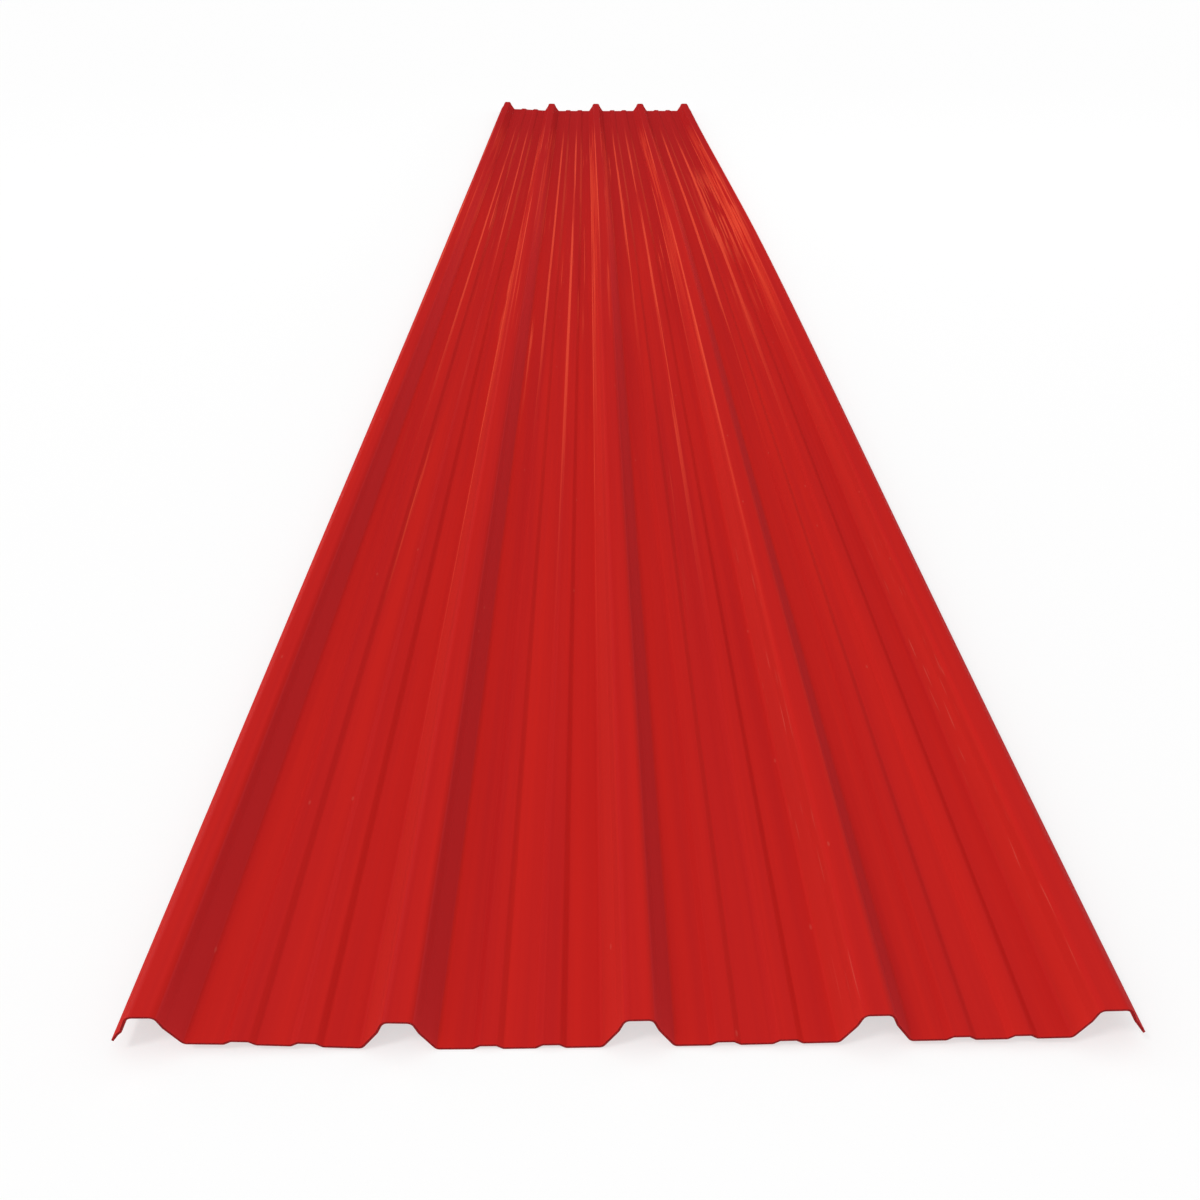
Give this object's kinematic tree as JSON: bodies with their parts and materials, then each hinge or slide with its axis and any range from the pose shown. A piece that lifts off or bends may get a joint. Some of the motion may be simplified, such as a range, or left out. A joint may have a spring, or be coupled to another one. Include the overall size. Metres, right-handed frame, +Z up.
{
  "type": "upvc roof sheet",
  "caption": "Long trapezoidal roof sheet in red uPVC, with flat-topped ribs, fluted pans and a side lap along each edge.",
  "frame": {"origin": "under the middle rib, half way along the sheet, on the level that the pans lie on", "axes": "+X across the sheet from the covered edge to the covering edge, +Y along the length, +Z up out of the weather face"},
  "size_m": [0.8146, 5, 0.031],
  "materials": {
    "red_upvc": "gloss"
  },
  "bodies": {
    "root": {"roof_sheet": "red_upvc"}
  },
  "joints": []
}
